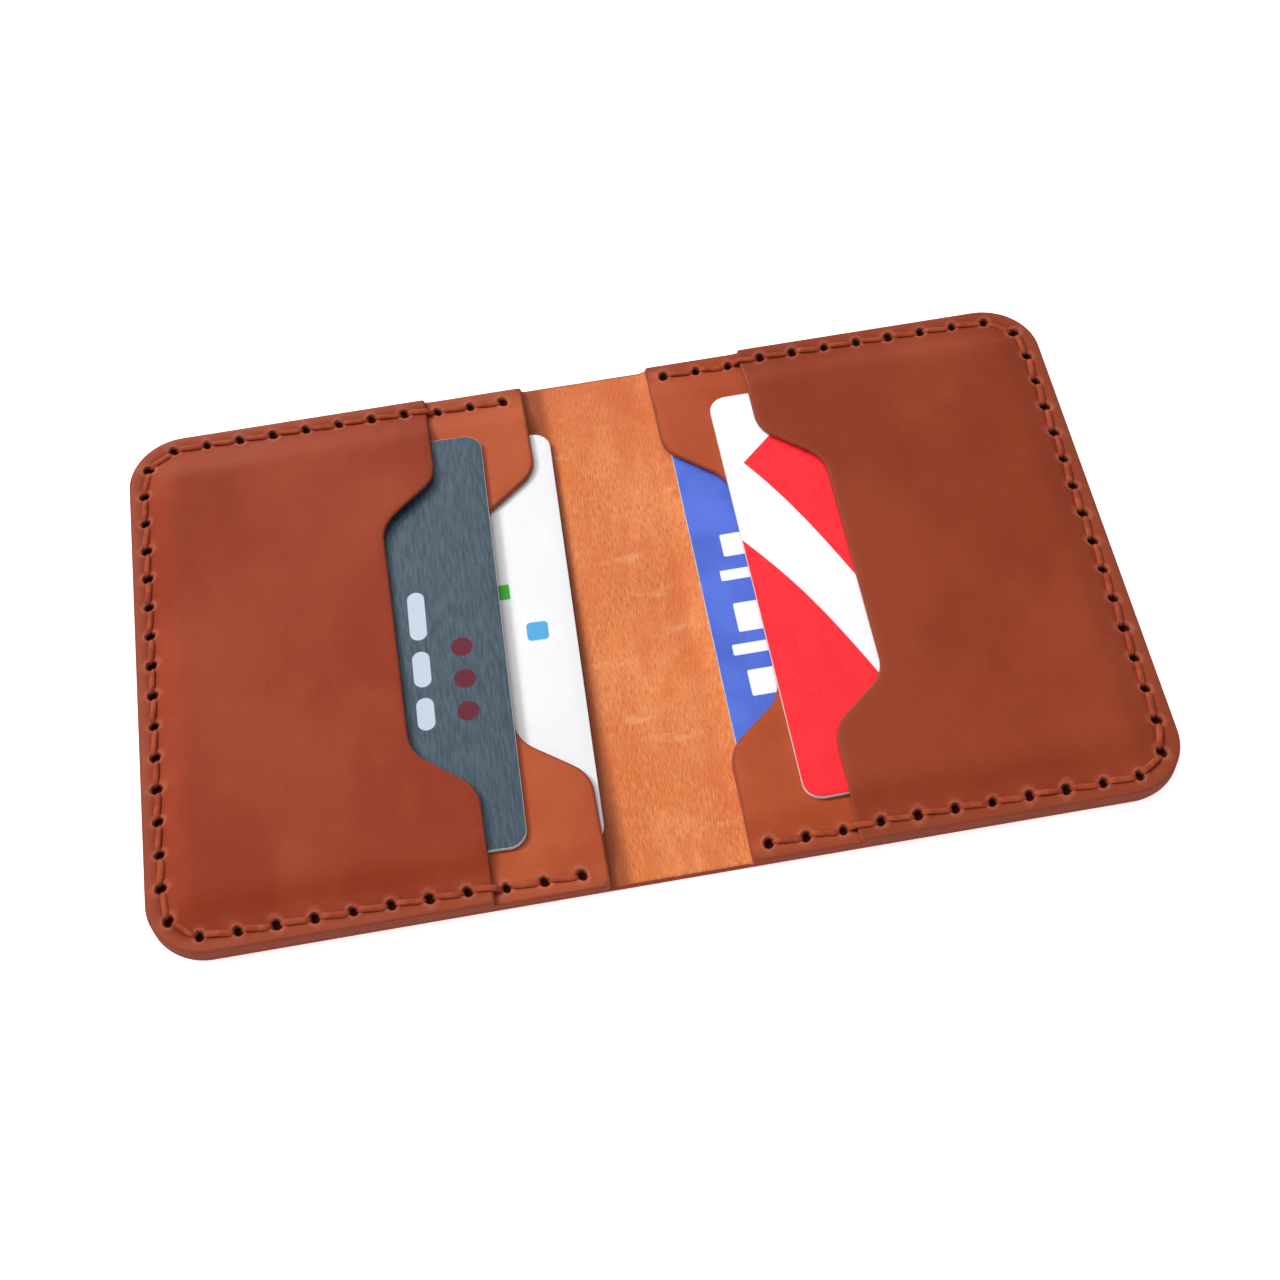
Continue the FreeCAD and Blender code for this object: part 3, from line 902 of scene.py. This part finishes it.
def card_core():
    """White core on a card's edge, a little darker along the two laminated faces."""
    n = Nodes("card_core")
    layers = n.axes()[2]
    shade = n.ramp(n.noise(n.scaled(1.5, 1.5, 6.0), 2.0), 0.3, 0.7)
    band = n.ramp(n.math("ABSOLUTE", n.math("SUBTRACT", layers, CARD_THICKNESS / 2)), 0.20, 0.26)
    colour = n.mix(shade, srgb(205, 205, 208), srgb(226, 226, 228))
    colour = n.mix(n.math("MULTIPLY", band, 0.35), colour, srgb(150, 150, 156))
    return n.finish(colour, 0.45)


def laminate(n, colour):
    """Finishes a card's print with smooth, slightly uneven clear plastic."""
    normal = n.bump(n.noise(n.scaled(0.35, 0.35, 0.35), 2.0), 0.004)
    dull = n.ramp(n.noise(n.scaled(0.2, 0.2, 0.2), 3.0), 0.3, 0.7, 0.24, 0.32)
    return n.finish(colour, dull, normal, Specular_IOR_Level=0.4)


def slate_print():
    """Brushed slate face with three plain pale bars and three dark red dots."""
    n = Nodes("slate_print")
    long_grain = n.noise(n.scaled(2.8, 0.30, 1.0), 4.0, 0.65)
    colour = n.mix(n.ramp(long_grain, 0.36, 0.66), srgb(64, 80, 92), srgb(84, 100, 112))
    streak = n.noise(n.scaled(4.5, 0.24, 1.0), 2.0, 0.5)
    colour = n.mix(n.ramp(streak, 0.66, 0.74, 0.0, 0.25), colour, srgb(118, 136, 148))
    bars = ((12.4, 4.5, 1.5, 5.0), (12.4, -6.5, 1.5, 3.6), (12.4, -15.5, 1.5, 3.2))
    colour = add_boxes(n, colour, bars, 1.5, srgb(196, 208, 222))
    dots = ((19.6, -3.0, 1.9, 1.9), (19.6, -9.5, 1.9, 1.9), (19.6, -16.0, 1.9, 1.9))
    colour = add_boxes(n, colour, dots, 1.9, srgb(104, 40, 54))
    normal = n.bump(long_grain, 0.008)
    return n.finish(colour, n.ramp(long_grain, 0.3, 0.7, 0.44, 0.54), normal, Specular_IOR_Level=0.3)


def white_print():
    """White face with a small green tile and a pale blue one."""
    n = Nodes("white_print")
    cloud = n.noise(n.scaled(0.08, 0.08, 0.08), 2.0)
    colour = n.mix(n.ramp(cloud, 0.3, 0.7), srgb(240, 240, 243), srgb(243, 243, 245))
    colour = add_boxes(n, colour, [(15.1, 8.5, 1.2, 1.6)], 0.3, srgb(64, 196, 52))
    colour = add_boxes(n, colour, [(20.3, -0.5, 1.9, 1.9)], 0.8, srgb(84, 170, 222))
    return laminate(n, colour)


def blue_print():
    """Blue face with a row of plain white blocks."""
    n = Nodes("blue_print")
    cloud = n.noise(n.scaled(0.10, 0.10, 0.10), 2.0)
    colour = n.mix(n.ramp(cloud, 0.3, 0.7), srgb(66, 94, 194), srgb(76, 106, 208))
    blocks = (
        (-18.8, 10.0, 3.0, 2.4),
        (-18.8, 3.6, 4.4, 1.1),
        (-18.8, -5.5, 3.4, 3.0),
        (-18.8, -12.0, 5.2, 1.1),
        (-18.8, -19.0, 3.6, 2.6),
    )
    return laminate(n, add_boxes(n, colour, blocks, 0.3, srgb(236, 236, 240)))


def red_print():
    """Red and white face: a white head, and a broad white band that waves across the red."""
    n = Nodes("red_print")
    x, y, _ = n.axes()
    cloud = n.noise(n.scaled(0.10, 0.10, 0.10), 2.0)
    red = n.mix(n.ramp(cloud, 0.3, 0.7), srgb(236, 20, 37), srgb(240, 24, 41))
    wave = n.math("MULTIPLY", n.math("SINE", n.math("MULTIPLY", n.math("ADD", x, 27.0), 0.16)), 3.0)
    fall = n.math("SUBTRACT", n.math("ADD", y, n.math("MULTIPLY", x, 1.9)), wave)
    band = n.math("MULTIPLY", n.ramp(fall, -41.1, -40.9), n.ramp(fall, -19.1, -18.9, 1.0, 0.0))
    head = n.ramp(n.math("SUBTRACT", y, n.math("MULTIPLY", x, 0.9)), 47.9, 48.1)
    white = n.math("MAXIMUM", band, head)
    return laminate(n, n.mix(white, red, srgb(238, 238, 242)))


def floor_material():
    """Matt white that glows enough to stay white in the picture, with a faint shadow under the holder."""
    n = Nodes("studio_floor")
    grain = n.noise(n.scaled(0.01, 0.01, 0.01), 2.0)
    colour = n.mix(n.ramp(grain, 0.3, 0.7), (0.80, 0.80, 0.80, 1), (0.81, 0.81, 0.81, 1))
    glow = {"Emission_Color": (1, 1, 1, 1), "Emission_Strength": 0.75}
    return n.finish(colour, 0.9, Specular_IOR_Level=0.0, **glow)


def dress(piece, slot_name, *materials):
    """Gives the piece its materials, in the order of its faces' indices. slot_name is not used."""
    for material in materials:
        piece.data.materials.append(material)


def assemble():
    """Makes every piece, hangs each pocket, thread and card on the body it rides on, and hides the CAD nodes
    it stands for.
    """
    leather = make_leather()
    # Painted light: the left half's leather colours, borders included, are lighter than the right half's,
    # partly the pieces' own tone and partly painted light from the left.
    burnish, worn_and_lit_left, worn_and_lit_right = srgb(138, 62, 44), srgb(152, 76, 52), srgb(139, 65, 41)
    tints = {
        "upper_left": (srgb(151, 63, 38), srgb(140, 52, 29), srgb(161, 74, 48), worn_and_lit_left),
        "lower_left": (srgb(181, 88, 53), srgb(171, 78, 44), srgb(191, 98, 63), worn_and_lit_left),
        "upper_right": (srgb(144, 60, 35), srgb(134, 51, 27), srgb(152, 69, 43), worn_and_lit_right),
        "lower_right": (srgb(172, 78, 44), srgb(162, 68, 36), srgb(182, 88, 53), worn_and_lit_right),
        "shell": (srgb(155, 66, 40), srgb(145, 57, 32), srgb(166, 78, 50), worn_and_lit_left),
    }
    outer, inner = grain_leather("shell_grain", *tints["shell"], burnish), flesh_leather("shell_flesh")
    thread_look, core = waxed_thread(), card_core()
    strips = {
        "left": ("spine_strip_1", "spine_strip_2", "spine_strip_3"),
        "right": ("spine_strip_4", "spine_strip_5"),
    }
    rng = random.Random(7)
    for label, side in SIDES.items():
        body = f"{label}_half"
        shell = leather["shell", label]
        dress(shell, "shell_leather", outer, inner)
        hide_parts(f"cover_{label}", *strips[label])
        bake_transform(shell)
        for level in ("lower", "upper"):
            skin = leather[level, label]
            look = grain_leather(f"pocket_grain_{level}_{label}", *tints[f"{level}_{label}"], burnish)
            dress(skin, "pocket_leather", look)
            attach(skin, body)
            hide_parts(f"{level}_pocket_{label}")
        thread = make_thread(label, side, rng)
        dress(thread, "waxed_thread", thread_look)
        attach(thread, body)
        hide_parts(f"thread_{label}")
    prints = {
        "card_left_lower": ("white_card", white_print),
        "card_left_upper": ("slate_card", slate_print),
        "card_right_lower": ("blue_card", blue_print),
        "card_right_upper": ("red_card", red_print),
    }
    for node, (slot_name, look) in prints.items():
        card = make_card(node)
        dress(card, slot_name, look(), core)
        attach(card, node)
        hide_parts(node)


# ---- Studio -------------------------------------------------------------------------------------
def direction(azimuth, elevation):
    """Unit vector from the holder towards these angles in degrees. Azimuth 0 is in front, 90 to the right."""
    a, e = math.radians(azimuth), math.radians(elevation)
    return Vector((math.sin(a) * math.cos(e), -math.cos(a) * math.cos(e), math.sin(e)))


def make_camera():
    """Camera at the reference viewing angle. Angles are in degrees, and azimuth 0 looks along +Y."""
    data = bpy.data.cameras.new("camera")
    data.sensor_width, data.lens = 36.0, 56.60
    data.clip_start, data.clip_end = 0.01, 20.0
    camera = add_object("camera", data)
    azimuth, elevation, roll, distance = -5.436, 57.393, -4.819, 350.91
    target = Vector((1.347, -6.018, 0.0))
    back = direction(azimuth, elevation)
    right = Vector((math.cos(math.radians(azimuth)), math.sin(math.radians(azimuth)), 0))
    up = back.cross(right)
    r = math.radians(roll)
    rolled_right = right * math.cos(r) + up * math.sin(r)
    rolled_up = up * math.cos(r) - right * math.sin(r)
    axes = Matrix((rolled_right, rolled_up, back)).transposed().to_4x4()
    camera.matrix_world = Matrix.Translation((target + back * distance) * MM) @ axes
    bpy.context.scene.camera = camera


def make_light(name, azimuth, elevation, spread, power, mirrored):
    """A far, soft light. spread is its width in degrees, and power what it gives a face turned towards it.

    A mirrored light only makes gloss, and any other light only lights the matt part of a surface.
    """
    data = bpy.data.lights.new(name, "SUN")
    data.angle, data.energy = math.radians(spread), power
    light = add_object(name, data)
    light.rotation_mode = "QUATERNION"
    light.rotation_quaternion = direction(azimuth, elevation).to_track_quat("Z", "Y")
    light.visible_glossy, light.visible_diffuse = mirrored, not mirrored


def make_studio():
    """Round white floor with a low wall far away, and soft light.

    The key comes from the left, the fill from high up behind, and the sheen from low behind. The sky gives
    some light from all round.
    """
    reach, wall, sides = 8.0, 1.2, 48
    turns = np.linspace(0, 2 * math.pi, sides, endpoint=False)
    coords = [(reach * math.cos(a), reach * math.sin(a), z) for z in (0, wall) for a in turns]
    faces = [tuple(range(sides))]
    faces += [(i, (i + 1) % sides, (i + 1) % sides + sides, i + sides) for i in range(sides)]
    mesh = bpy.data.meshes.new("studio_floor")
    mesh.from_pydata(coords, [], faces)
    mesh.materials.append(floor_material())
    floor = add_object("studio_floor", mesh)
    floor.visible_glossy = False
    world = bpy.data.worlds.new("studio")
    world.use_nodes = True
    sky = world.node_tree.nodes["Background"]
    sky.inputs["Color"].default_value = (1, 1, 1, 1)
    sky.inputs["Strength"].default_value = 0.27
    bpy.context.scene.world = world
    make_light("key", 244, 41, 18, 2.27, mirrored=False)
    make_light("fill", 210, 62, 46, 1.28, mirrored=False)
    make_light("sheen", 195, 25, 20, 0.7, mirrored=True)
    bpy.context.scene.view_settings.view_transform = "Standard"


make_camera()
make_studio()
assemble()
